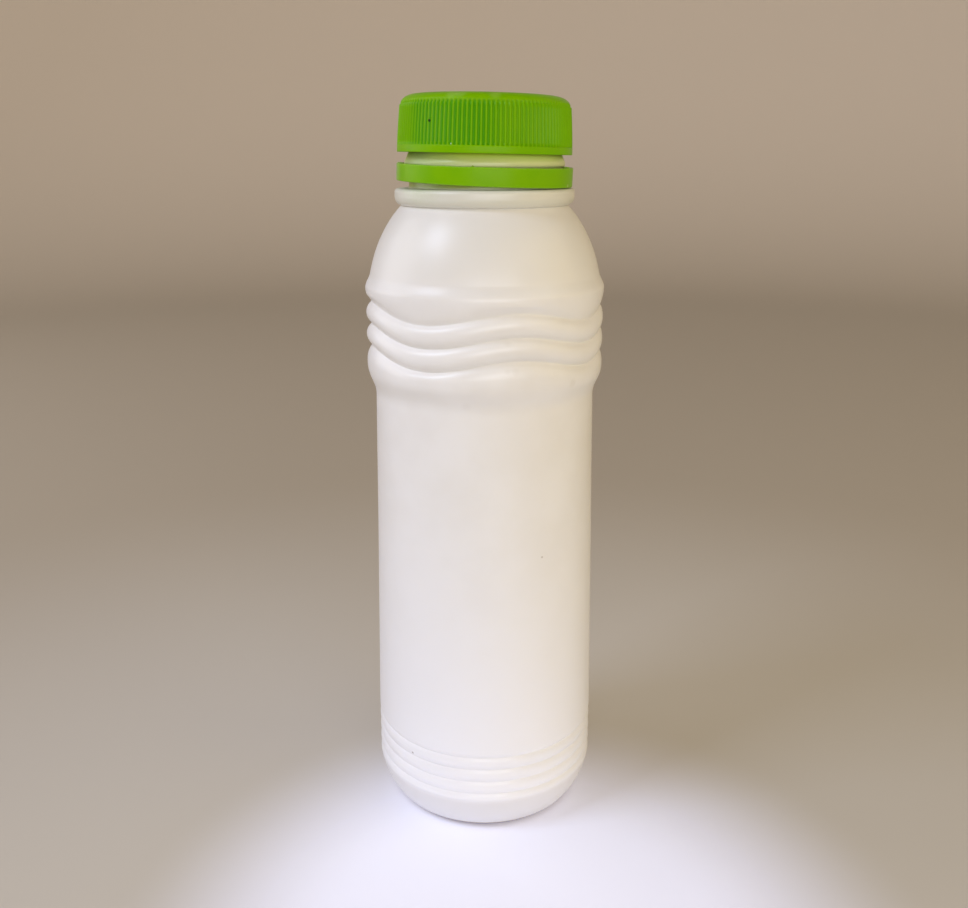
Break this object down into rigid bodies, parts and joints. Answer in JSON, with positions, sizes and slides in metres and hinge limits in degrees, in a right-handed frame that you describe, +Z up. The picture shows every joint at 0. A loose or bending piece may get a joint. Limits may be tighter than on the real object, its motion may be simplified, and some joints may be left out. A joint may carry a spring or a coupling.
{
  "type": "plastic bottle",
  "caption": "Slim white plastic drink bottle with wavy shoulder ribs, a grooved heel, a green screw cap and its loose safety ring.",
  "frame": {"origin": "middle of the bottle's foot, on the surface that it stands on", "axes": "+Z up along the bottle, -Y the side the picture shows, +X to the picture's right"},
  "size_m": [0.056, 0.056, 0.172],
  "materials": {
    "bottle_white": "opaque blow-moulded white plastic with a soft satin sheen",
    "cap_green": "bright lime green moulded plastic with a satin sheen"
  },
  "bodies": {
    "root": {"bottle": "bottle_white", "cap": "cap_green", "tamper_ring": "cap_green"}
  },
  "joints": []
}
